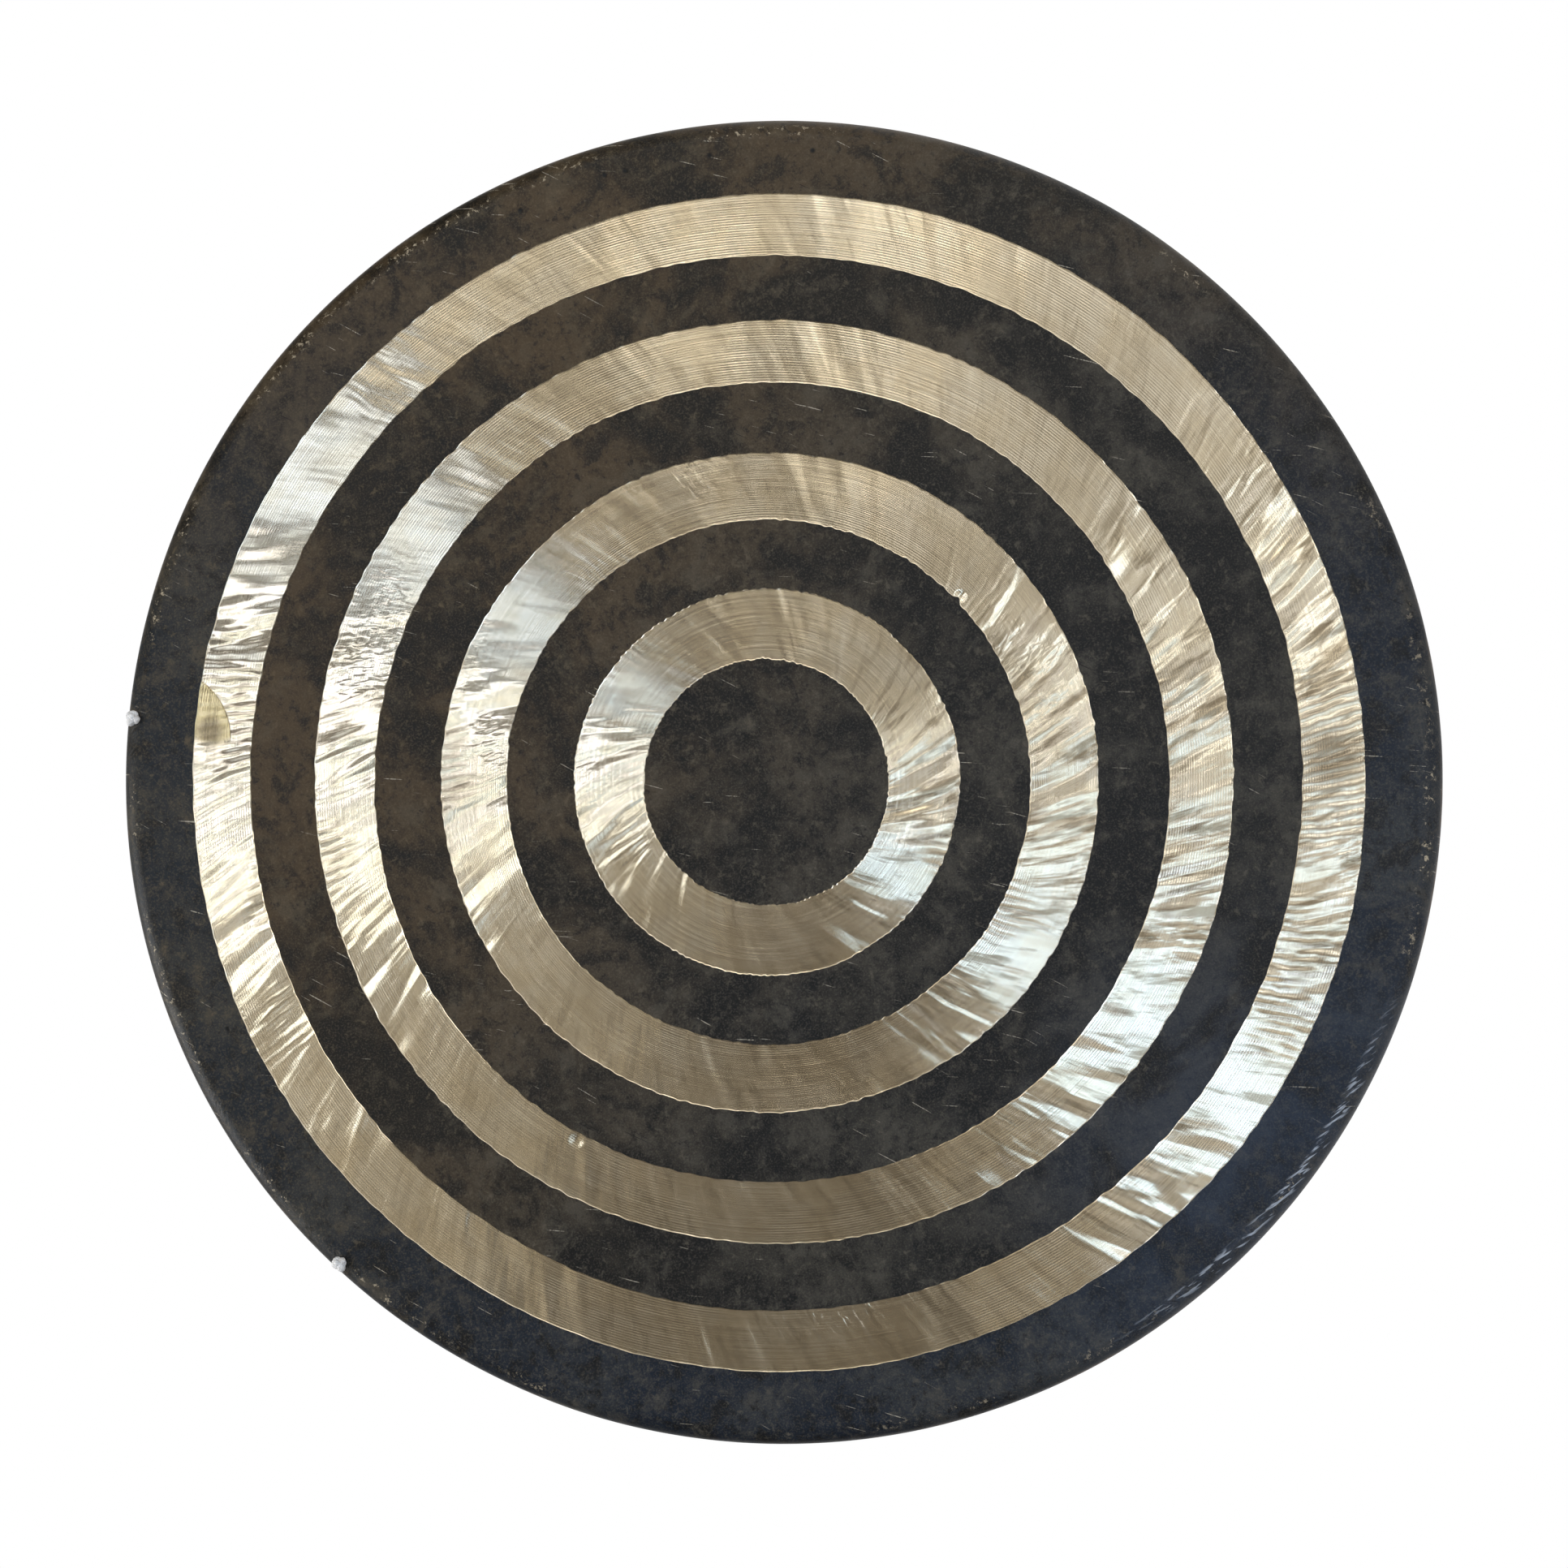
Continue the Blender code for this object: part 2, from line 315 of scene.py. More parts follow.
def ripple(nodes, parts, pitch, lean, height):
    """Return the relief of even tool ripples across a ring, in patches, each ring with a whole number of them."""
    place, radius, outward = parts
    split = nodes.add("ShaderNodeSeparateXYZ", None, Vector=outward)
    bearing = nodes.math("ARCTAN2", split.outputs["Z"], split.outputs["X"])
    leant = nodes.math("MULTIPLY_ADD", nodes.math("LOGARITHM", radius, math.e), -lean, bearing)
    count = nodes.math("ROUND", nodes.math("MULTIPLY", ring_radius(nodes, radius), math.tau / pitch))
    stray = nodes.math("MULTIPLY", nodes.noise(place, 55.0, 2.0), 5.0)
    wave = nodes.math("SINE", nodes.math("MULTIPLY_ADD", leant, count, stray))
    here = nodes.ramp(nodes.noise(nodes.vector("ADD", place, (0.7, 0.0, 0.2)), 11.0, 2.0), 0.53, 0.66, 0.0, 0.7)
    here = nodes.math("MAXIMUM", here, near_spot(nodes, place, RIPPLE_SPOT[0], RIPPLE_SPOT[1], 0.03, 0.08))
    across = nodes.ramp(nodes.noise(place, 45.0, 1.0), 0.30, 0.50, 0.3, 1.0)
    return nodes.math("MULTIPLY", nodes.math("MULTIPLY", wave, nodes.math("MULTIPLY", here, across)), height).outputs[0]


def lathed_bronze():
    """Bright scraped bronze: round grooves, hand chatter across them, faint tints, and painted shade in streaks,
    ripples, one band and the re-cut patch.
    """
    material, nodes, shader = new_material("lathed_bronze")
    parts = polar_parts(nodes)
    place, radius, outward = parts
    height = chatter(nodes, parts, 48.0, 13.0, 0.50, 0.00240, 12.0, 0.42)
    height = nodes.math("ADD", height, chatter(nodes, parts, 115.0, 24.0, 0.45, 0.00060, 15.0, 0.44)).outputs[0]
    height = nodes.math("ADD", height, chatter(nodes, parts, 280.0, 44.0, 0.42, 0.00011, 20.0, 0.46)).outputs[0]
    sides = nodes.vector("DOT_PRODUCT", outward, face_place(ROUGH_BEARING, 1.0)).outputs["Value"]
    rough = nodes.ramp(nodes.math("ABSOLUTE", sides), 0.55, 0.85, 0.50, 1.0)
    rough = nodes.math("MULTIPLY", rough, nodes.ramp(sides, 0.50, 0.85, 1.0, ROUGHER_RIGHT))
    calm = nodes.vector("DOT_PRODUCT", outward, face_place(CALM_BEARING, 1.0)).outputs["Value"]
    rough = nodes.math("MULTIPLY", rough, nodes.ramp(nodes.math("ABSOLUTE", calm), 0.972, 0.993, 1.0, 0.35))
    rippled = near_spot(nodes, place, RIPPLE_SPOT[0], RIPPLE_SPOT[1], 0.02, 0.06)
    rough = nodes.math("MULTIPLY", rough, nodes.math("MULTIPLY_ADD", rippled, -0.7, 1.0))
    height = nodes.math("MULTIPLY", height, rough)
    ripples = ripple(nodes, parts, RIPPLE_PITCH, 0.20, 0.000075)
    ripples = nodes.math("MULTIPLY", ripples, nodes.ramp(nodes.math("ABSOLUTE", sides), 0.50, 0.85, 0.08, 1.0))
    height = nodes.math("ADD", height, ripples).outputs[0]
    height = nodes.math("ADD", height, chatter(nodes, parts, 300.0, 140.0, 0.35, 0.00032, 9.0, 0.57, 0.0)).outputs[0]
    turning = nodes.noise(around_the_gong(nodes, radius, outward, 9.0, 700.0), 1.0, 2.0, 0.65)
    fine = nodes.noise(around_the_gong(nodes, radius, outward, 40.0, 2600.0), 1.0, 1.0, 0.6)
    pitch = nodes.ramp(radius, 0.13, 0.24, COARSE_PITCH, FINE_PITCH)
    wander = nodes.math("MULTIPLY_ADD", nodes.noise(place, 30.0, 2.0), 0.0006, radius)
    groove = nodes.math("SINE", nodes.math("DIVIDE", nodes.math("MULTIPLY", wander, math.tau), pitch))
    strength = nodes.ramp(nodes.noise(place, 14.0, 2.0), 0.42, 0.58, 0.25, 1.0)
    cut = nodes.math("MULTIPLY", groove, nodes.math("MULTIPLY", strength, nodes.ramp(radius, 0.12, 0.16, 0.35, 1.0)))
    height = nodes.math("MULTIPLY_ADD", cut, 0.000020, height).outputs[0]
    height = nodes.math("MULTIPLY_ADD", turning, 0.00010, height).outputs[0]
    height = nodes.math("MULTIPLY_ADD", fine, 0.00003, height).outputs[0]
    recut = near_spot(nodes, place, *RECUT_ARC, RECUT_ARC_RADIUS - 0.0007, RECUT_ARC_RADIUS)
    recut = nodes.math("MULTIPLY", recut, near_spot(nodes, place, *RECUT_MIDDLE, 0.0170, 0.0230))
    dent = near_spot(nodes, place, 242.0, 0.2450, 0.0005, 0.0060)
    chip = near_spot(nodes, place, 43.6, 0.1605, 0.0005, 0.0045)
    height = nodes.math("MULTIPLY_ADD", recut, -0.00012, height).outputs[0]
    height = nodes.math("MULTIPLY_ADD", dent, -0.00045, height).outputs[0]
    height = nodes.math("MULTIPLY_ADD", chip, -0.00060, height).outputs[0]
    bump = nodes.add("ShaderNodeBump", None, Strength=1.0, Distance=1.0, Height=height)

    tint = nodes.noise(place, 28.0, 3.0, 0.6)
    colour = nodes.mix(nodes.ramp(tint, 0.38, 0.62), rgb(0.81, 0.70, 0.50), rgb(0.87, 0.78, 0.60))
    lines = nodes.ramp(turning, 0.35, 0.65, 0.0, 0.45, False)
    colour = nodes.mix(lines, colour, rgb(0.66, 0.55, 0.39))
    colour = nodes.mix(nodes.ramp(cut, 0.1, -0.8, 0.0, 0.42), colour, rgb(0.50, 0.42, 0.29))
    marks = nodes.noise(around_the_gong(nodes, radius, outward, 130.0, 28.0, 0.42), 1.0, 3.0, 0.6, 0.3)
    # Painted shade: dark leaning streaks that stand in for darker reflections, strongest on the ROUGH_BEARING side.
    shade = nodes.math("MULTIPLY", nodes.ramp(marks, 0.49, 0.66), nodes.ramp(sides, 0.55, 0.90, 0.22, 0.92))
    colour = nodes.mix(shade, colour, rgb(0.33, 0.26, 0.165))
    # Painted shade: a dark band round the ripple spot.
    painted_dark_band = near_spot(nodes, place, RIPPLE_SPOT[0], RIPPLE_SPOT[1], 0.008, 0.026)
    colour = nodes.mix(nodes.math("MULTIPLY", painted_dark_band, 0.75), colour, rgb(0.24, 0.185, 0.115))
    # Painted shade along the ripples, darkest where their relief stands highest.
    colour = nodes.mix(nodes.ramp(ripples, 0.0, 0.00006, 0.0, 0.62), colour, rgb(0.28, 0.215, 0.135))
    # Painted shade on the re-cut patch, darkest at its one end.
    recut_shade = nodes.mix(near_spot(nodes, place, *RECUT_SHADE_END, 0.004, 0.013), rgb(0.50, 0.40, 0.20), rgb(0.15, 0.11, 0.05))
    colour = nodes.mix(nodes.math("MULTIPLY", recut, 0.85), colour, recut_shade)
    nodes.feed(shader, "Base Color", colour)
    nodes.feed(shader, "Roughness", nodes.ramp(fine, 0.2, 0.8, 0.20, 0.27, False))
    nodes.feed(shader, "Normal", bump)
    shader.inputs["Metallic"].default_value = 1.0
    shader.inputs["Anisotropic"].default_value = 1.0
    radial = nodes.vector("MULTIPLY", place, (1.0, 0.0, 1.0))
    skew = nodes.math("MULTIPLY", recut, RECUT_TURN)
    laid = nodes.add("ShaderNodeVectorRotate", {"rotation_type": "Y_AXIS"}, Vector=radial, Angle=skew)
    tangent = nodes.add(
        "ShaderNodeVectorTransform",
        {"vector_type": "VECTOR", "convert_from": "OBJECT", "convert_to": "WORLD"},
        Vector=laid,
    )
    nodes.feed(shader, "Tangent", tangent)
    return material


def scratches(nodes, place, turn, seed):
    """Return short straight scratches in clusters, lying about one direction."""
    moved = nodes.vector("ADD", place, (seed, 0.0, seed * 2)).outputs[0]
    turned = nodes.add("ShaderNodeVectorRotate", {"rotation_type": "Y_AXIS"}, Vector=moved, Angle=turn)
    drawn = nodes.vector("MULTIPLY", turned, (34.0, 40.0, 900.0)).outputs[0]
    line = nodes.ramp(nodes.noise(drawn, 1.0, 1.0, 0.4), 0.725, 0.745)
    cluster = nodes.ramp(nodes.noise(moved, 11.0, 2.0), 0.54, 0.60)
    return nodes.math("MULTIPLY", line, cluster).outputs[0]


def forged_skin(name, wear_and_glints):
    """Dark skin left from forging: cloudy brown and charcoal, with scratches, pits and worn marks, and painted bluish
    glints and a painted blue sheen by the shoulder.
    """
    material, nodes, shader = new_material(name)
    place, radius, outward = polar_parts(nodes)
    clouds = nodes.noise(place, 10.0, 8.0, 0.66, 0.5)
    stains = nodes.noise(place, 42.0, 7.0, 0.68, 0.4)
    mottle = nodes.noise(place, 160.0, 6.0, 0.74, 0.3)
    speck = nodes.noise(place, 900.0, 3.0, 0.6)
    brown = nodes.mix(nodes.ramp(clouds, 0.42, 0.58), rgb(0.008, 0.007, 0.005), rgb(0.058, 0.044, 0.028))
    grey = nodes.mix(nodes.ramp(clouds, 0.42, 0.58), rgb(0.006, 0.006, 0.006), rgb(0.040, 0.037, 0.030))
    side = nodes.vector("DOT_PRODUCT", place, face_place(BLACKEST_BEARING, 1.0)).outputs["Value"]
    inner = nodes.mix(nodes.ramp(side, -0.20, 0.20), brown, grey)
    # Across the outer dark ring: bluish away from PICTURE_UP and brown towards it, partly the skin's own tone and
    # partly a painted blue sheen.
    blue = nodes.mix(nodes.ramp(clouds, 0.46, 0.62), rgb(0.009, 0.015, 0.026), rgb(0.030, 0.035, 0.041))
    level = nodes.vector("DOT_PRODUCT", place, tuple(PICTURE_UP)).outputs["Value"]
    outer = nodes.mix(nodes.ramp(level, 0.05, 0.38), blue, brown)
    colour = nodes.mix(nodes.ramp(radius, RING_EDGES[-1] - 0.005, RING_EDGES[-1]), inner, outer)
    colour = nodes.mix(nodes.ramp(stains, 0.51, 0.66, 0.0, 0.48), colour, rgb(0.088, 0.080, 0.064))
    colour = nodes.mix(nodes.ramp(stains, 0.49, 0.38, 0.0, 0.80), colour, rgb(0.005, 0.005, 0.005))
    colour = nodes.mix(nodes.ramp(mottle, 0.54, 0.70, 0.0, 0.52), colour, rgb(0.140, 0.124, 0.094))
    colour = nodes.mix(nodes.ramp(mottle, 0.48, 0.34, 0.0, 0.80), colour, rgb(0.004, 0.004, 0.004))
    colour = nodes.mix(nodes.ramp(speck, 0.48, 0.66, 0.0, 0.30), colour, rgb(0.13, 0.115, 0.09))

    warmth = nodes.mix(nodes.ramp(side, -0.26, 0.10), rgb(1.16, 1.0, 0.76), rgb(1.0, 1.0, 1.0))
    colour = nodes.vector("MULTIPLY", colour, warmth).outputs[0]

    depth = nodes.add("ShaderNodeSeparateXYZ", None, Vector=place).outputs["Y"]
    on_face = nodes.ramp(depth, 0.015, 0.008, 0.12, 1.0)
    cracks = nodes.math("MULTIPLY", scratches(nodes, place, 0.76, 4.2), on_face)
    colour = nodes.mix(nodes.math("MULTIPLY", cracks, 0.85), colour, rgb(0.002, 0.002, 0.002))
    marks = scratches(nodes, place, 0.94, 0.3)
    for turn, seed in ((1.15, 1.1), (0.70, 2.7)):
        marks = nodes.math("MAXIMUM", marks, scratches(nodes, place, turn, seed)).outputs[0]
    marks = nodes.math("MULTIPLY", marks, nodes.ramp(speck, 0.38, 0.54, 0.1, 1.0)).outputs[0]
    marks = nodes.math("MULTIPLY", marks, on_face).outputs[0]
    colour = nodes.mix(nodes.math("MULTIPLY", marks, 0.85), colour, rgb(0.55, 0.50, 0.40))
    gloss = nodes.ramp(mottle, 0.25, 0.75, 0.36, 0.56, False)
    height = nodes.math("MULTIPLY", mottle, 0.00022).outputs[0]
    if wear_and_glints:
        edge = nodes.math("ABSOLUTE", nodes.math("SUBTRACT", radius, WORN_RADIUS)).outputs[0]
        near = nodes.math("MULTIPLY", nodes.ramp(edge, 0.0050, 0.0010), nodes.ramp(depth, 0.020, 0.012))
        beats = chatter(nodes, (place, radius, outward), 260.0, 150.0, 1.0, 0.0006, 16.0, 0.44)
        height = nodes.math("MULTIPLY_ADD", beats, near, height).outputs[0]
        rubbed = nodes.noise(place, 260.0, 5.0, 0.75)
        here = nodes.ramp(nodes.noise(place, 9.0, 2.0), 0.45, 0.60)
        worn = nodes.math("MULTIPLY", nodes.math("MULTIPLY", nodes.ramp(rubbed, 0.57, 0.63), near), here)
        colour = nodes.mix(worn, colour, rgb(0.52, 0.44, 0.31))
        widest = nodes.ramp(radius, GONG_RADIUS - 0.0030, GONG_RADIUS - 0.0008)
        widest = nodes.math("MULTIPLY", widest, nodes.ramp(stains, 0.42, 0.58))
        colour = nodes.mix(nodes.math("MULTIPLY", widest, here), colour, rgb(0.125, 0.080, 0.042))
        # Painted highlight: bluish-white glints in dashes on the worn line, where the marks are also made glossier.
        glint_spot = near_spot(nodes, place, GLINT_BEARING, WORN_RADIUS, 0.05, 0.15)
        lines = nodes.add("ShaderNodeVectorRotate", {"rotation_type": "Y_AXIS"}, Vector=place, Angle=GLINT_TURN)
        dashes = nodes.noise(nodes.vector("MULTIPLY", lines, (75.0, 40.0, 480.0)), 1.0, 2.0, 0.5)
        painted_glint = nodes.math("MULTIPLY", nodes.ramp(dashes, 0.53, 0.62), nodes.math("MULTIPLY", glint_spot, near))
        # Painted reflection: a blue sheen painted round the glint spot, in clouds.
        painted_blue_sheen = nodes.math("MULTIPLY", near_spot(nodes, place, GLINT_BEARING, 0.37, 0.03, 0.20), nodes.ramp(clouds, 0.40, 0.55))
        colour = nodes.mix(nodes.math("MULTIPLY", painted_blue_sheen, 0.4), colour, rgb(0.034, 0.054, 0.092))
        colour = nodes.mix(nodes.math("MULTIPLY", painted_glint, 0.8), colour, rgb(0.60, 0.66, 0.74))
        gloss = nodes.math("MULTIPLY_ADD", nodes.math("MULTIPLY", near, glint_spot), -0.14, gloss)
        for bearing, reach in PITS:
            pit = near_spot(nodes, place, bearing, reach, 0.0006, 0.0022)
            colour = nodes.mix(pit, colour, rgb(0.003, 0.003, 0.003))
            height = nodes.math("MULTIPLY_ADD", pit, -0.0004, height).outputs[0]
    nodes.feed(shader, "Base Color", colour)
    nodes.feed(shader, "Roughness", gloss)
    height = nodes.math("MULTIPLY_ADD", speck, 0.00004, height).outputs[0]
    height = nodes.math("MULTIPLY_ADD", marks, -0.00005, height).outputs[0]
    nodes.feed(shader, "Normal", nodes.add("ShaderNodeBump", None, Strength=1.0, Distance=1.0, Height=height))
    shader.inputs["Specular IOR Level"].default_value = 0.25
    return material


def braided_nylon():
    """White braided nylon: painted shade between its strands, and fine fibres along each strand."""
    material, nodes, shader = new_material("braided_nylon")
    place = nodes.add("ShaderNodeTexCoord").outputs["UV"]
    parts = nodes.add("ShaderNodeSeparateXYZ", None, Vector=place)
    length, turn = parts.outputs["X"], parts.outputs["Y"]
    turns = nodes.math("MULTIPLY", length, 1 / BRAID_PITCH)
    around = nodes.math("MULTIPLY", nodes.math("SUBTRACT", turn, turns), BRAID_STRANDS)
    back = nodes.math("MULTIPLY", nodes.math("ADD", turn, turns), BRAID_STRANDS)
    gap_one = nodes.math("PINGPONG", around, 0.5)
    gap_two = nodes.math("PINGPONG", back, 0.5)
    gap = nodes.ramp(nodes.math("MINIMUM", gap_one, gap_two), 0.0, 0.14)
    fibres = nodes.add("ShaderNodeCombineXYZ", None, X=nodes.math("MULTIPLY", around, 9.0), Y=turns)
    fibre = nodes.noise(fibres, 1.0, 2.0)
    grime = nodes.noise(nodes.add("ShaderNodeTexCoord").outputs["Object"], 60.0, 3.0)
    colour = nodes.mix(nodes.ramp(fibre, 0.3, 0.7), rgb(0.90, 0.90, 0.89), rgb(0.95, 0.95, 0.94))
    colour = nodes.mix(nodes.ramp(grime, 0.5, 0.75, 0.0, 0.2), colour, rgb(0.74, 0.70, 0.62))
    # Painted shade in the gaps between the strands.
    colour = nodes.mix(gap, rgb(0.78, 0.77, 0.75), colour)
    nodes.feed(shader, "Base Color", colour)
    height = nodes.math("MULTIPLY", fibre, 0.00012)
    nodes.feed(shader, "Normal", nodes.add("ShaderNodeBump", None, Strength=1.0, Distance=1.0, Height=height))
    shader.inputs["Roughness"].default_value = 0.55
    shader.inputs["Sheen Weight"].default_value = 0.25
    return material


def crown(radius):
    """Return how far the face stands forward of its edge at this radius."""
    share = np.minimum(radius / SHOULDER_START, 1.0)
    return CROWN_HEIGHT * (1.0 - share * share) ** 2


def wave_field(seed, count, shortest, longest, height):
    """Return a smooth random field over the face: plane waves of these lengths, this high."""
    draw = np.random.default_rng(seed)
    turn = draw.uniform(0, 2 * np.pi, count)
    length = draw.uniform(shortest, longest, count)
    phase = draw.uniform(0, 2 * np.pi, count)
    share = height * np.sqrt(2.0 / count)

    def field(x, z):
        total = np.zeros_like(x)
        for angle, span, start in zip(turn, length, phase):
            total += share * np.sin(2 * np.pi / span * (x * np.cos(angle) + z * np.sin(angle)) + start)
        return total

    return field


def edge_waver(seed, size, first=2, last=26, fall=0.8):
    """Return how far a hand-cut edge strays from its circle, as a function of the angle."""
    draw = np.random.default_rng(seed)
    orders = np.arange(first, last)
    sizes = size * draw.normal(0, 1, len(orders)) / orders ** fall
    starts = draw.uniform(0, 2 * np.pi, len(orders))

    def waver(angle):
        return sum(s * np.cos(n * angle + p) for n, s, p in zip(orders, sizes, starts))

    return waver


def face_rings():
    """Return each ring of the face's front: its radius, how deep it is lathed, and its kind."""
    edges = [0.0, *RING_EDGES, SHOULDER_START]
    rings = []
    for number in range(len(edges) - 1):
        inner, outer = edges[number], edges[number + 1]
        if number % 2 == 1:
            rings.append((inner + LIP, LATHE_DEPTH, "lathed"))
            for radius in np.linspace(inner + LIP * 2, outer - LIP * 2, LATHED_ROWS):
                rings.append((radius, LATHE_DEPTH, "lathed"))
            rings.append((outer - LIP, LATHE_DEPTH, "lathed"))
        else:
            rings.append((outer if number == 0 else inner, 0.0, "skin" if number == 0 else "lathed"))
            for radius in np.linspace(inner + LIP, outer - LIP, SKIN_ROWS)[0 if number else 1:]:
                rings.append((radius, 0.0, "skin"))
            if number:
                rings.append((outer, 0.0, "skin"))
    rings.sort(key=lambda ring: ring[0])
    return rings


def rim_points(offset, bends, falls):
    """Return the shoulder and rim of one side of the sheet as radius and depth."""
    bend = SHOULDER_RADIUS - offset
    points = []
    for step in range(1, bends + 1):
        turn = (math.pi / 2 + RIM_TAPER) * step / bends
        points.append((SHOULDER_START + bend * math.sin(turn), SHOULDER_RADIUS - bend * math.cos(turn)))
    radius, depth = points[-1]
    for step in range(1, falls + 1):
        drop = (RIM_DEPTH - depth) * step / falls
        points.append((radius - drop * math.tan(RIM_TAPER), depth + drop))
    return points


def plate_skin(materials):
    """Build the plate as one closed skin, with its waves, hammer marks and hand-cut rings."""
    angle = np.arange(TURNS) * 2 * np.pi / TURNS
    cos, sin = np.cos(angle), np.sin(angle)
    broad = wave_field(11, 26, 0.10, 0.26, 0.00026)
    dents = wave_field(12, 60, 0.022, 0.060, 0.00005)
    rim_dents = wave_field(13, 60, 0.016, 0.040, 0.00022)
    wavers = [edge_waver(20 + number, 0.00042, 2, 110) for number in range(len(RING_EDGES))]
    nicks = [edge_waver(50 + number, 0.000022, 60, 190, 0.0) for number in range(len(RING_EDGES))]
    strays = [waver(angle) + nick(angle) for waver, nick in zip(wavers, nicks)]
    chip = math.atan2(face_place(43.6, 1.0)[2], face_place(43.6, 1.0)[0]) % math.tau
    strays[2] += 0.0022 * np.exp(-(((angle - chip) * RING_EDGES[2] / 0.0022) ** 2))
    stray = np.array([np.zeros(TURNS), *strays, np.zeros(TURNS)])
    stray_at = np.array([0.0, *RING_EDGES, SHOULDER_START])
    shape = edge_waver(40, 0.00022)(angle)
    shape -= shape.max()

    def face_relief(x, z):
        """Return how far the beaten sheet strays, calm where the cord hangs close behind it."""
        calm = 1.0 - np.exp(-((x / CALM_WIDTH) ** 2) - ((z - SHOULDER_START) / CALM_WIDTH) ** 2)
        return (broad(x, z) + dents(x, z)) * calm

    rows = []
    kinds = []

    def add_row(radius, depth, kind):
        rows.append((radius, depth))
        kinds.append(kind)

    for radius, cut, kind in face_rings():
        drift = np.array([np.interp(radius, stray_at, stray[:, k]) for k in range(TURNS)])
        real = radius + drift + shape * radius / SHOULDER_START
        relief = face_relief(real * cos, real * sin)
        fade = min(1.0, (SHOULDER_START - radius) / 0.03 + 0.15)
        depth = -crown(real) + cut + relief * fade + 0.0004
        add_row(real, depth, kind)
    for radius, depth in rim_points(0.0, 14, 8):
        real = radius + shape
        beat = rim_dents(real * cos + depth * 3, real * sin + depth * 5)
        down = min(1.0, max(0.0, (depth - 0.010) / 0.02))
        add_row(real + (beat - 0.0004) * down, np.full(TURNS, min(depth + 0.0002, RIM_DEPTH)), "rim")
    outside_end = len(rows)
    for radius, depth in rim_points(SHEET, 7, 5)[::-1]:
        real = radius + shape
        beat = rim_dents(real * cos + depth * 3, real * sin + depth * 5)
        down = min(1.0, max(0.0, (depth - 0.010) / 0.02))
        add_row(real + (beat - 0.0004) * down, np.full(TURNS, min(depth + 0.0002, RIM_DEPTH)), "back")
    for radius in np.linspace(SHOULDER_START, 0.010, 20):
        real = radius + shape * radius / SHOULDER_START
        relief = face_relief(real * cos, real * sin)
        fade = min(1.0, (SHOULDER_START - radius) / 0.03 + 0.15)
        depth = -crown(real) + SHEET + relief * fade - 0.0002
        add_row(real, depth, "back")
    kinds[outside_end] = "edge"

    slots = {"lathed": 0, "skin": 1, "rim": 1, "edge": 1, "back": 2}
    points = [(0.0, float(rows[0][1].mean()), 0.0)]
    for radius, depth in rows:
        points += list(zip((radius * cos).tolist(), np.broadcast_to(depth, TURNS).tolist(), (radius * sin).tolist()))
    points.append((0.0, float(rows[-1][1].mean()), 0.0))
    faces = []
    marks = []
    after = [(k + 1) % TURNS for k in range(TURNS)]
    for k in range(TURNS):
        faces.append((0, 1 + k, 1 + after[k]))
        marks.append(slots["skin"])
    for row in range(len(rows) - 1):
        start, end = 1 + row * TURNS, 1 + (row + 1) * TURNS
        slot = slots[kinds[row + 1]]
        for k in range(TURNS):
            faces.append((start + k, end + k, end + after[k], start + after[k]))
            marks.append(slot)
    last = 1 + (len(rows) - 1) * TURNS
    for k in range(TURNS):
        faces.append((last + k, len(points) - 1, last + after[k]))
        marks.append(slots["back"])

    mesh = bpy.data.meshes.new("gong_skin")
    mesh.from_pydata(points, [], faces)
    mesh.polygons.foreach_set("material_index", marks)
    for material in materials:
        mesh.materials.append(material)
    mesh.shade_smooth()
    mesh.update()
    skin = bpy.data.objects.new("gong_skin", mesh)
    skin.location = CENTRE
    bpy.context.scene.collection.objects.link(skin)
    return skin


def smooth_points(points, spacing):
    """Return points about this far apart on a smooth curve through the given points."""
    given = [Vector(point) for point in points]
    ends = [given[0] * 2 - given[1]] + given + [given[-1] * 2 - given[-2]]
    curve = [given[0]]
    for index in range(1, len(ends) - 2):
        before, start, end, after = ends[index - 1:index + 3]
        count = max(1, round((end - start).length / spacing))
        for step in range(1, count + 1):
            t = step / count
            curve.append(
                0.5
                * (
                    start * 2
                    + (end - before) * t
                    + (before * 2 - start * 5 + end * 4 - after) * t * t
                    + (start * 3 - before - end * 3 + after) * t ** 3
                )
            )
    return curve


def braid_height(turn, length):
    """Return the relief of a plain braid at this turn round the cord and this length along it."""
    one = BRAID_STRANDS * (turn - length / BRAID_PITCH)
    two = BRAID_STRANDS * (turn + length / BRAID_PITCH)
    over = (math.floor(one) + math.floor(two)) % 2 == 0
    place, across = (one, two) if over else (two, one)
    return math.sin(math.pi * (place % 1.0)) * (0.55 + 0.45 * math.sin(math.pi * (across % 1.0)))


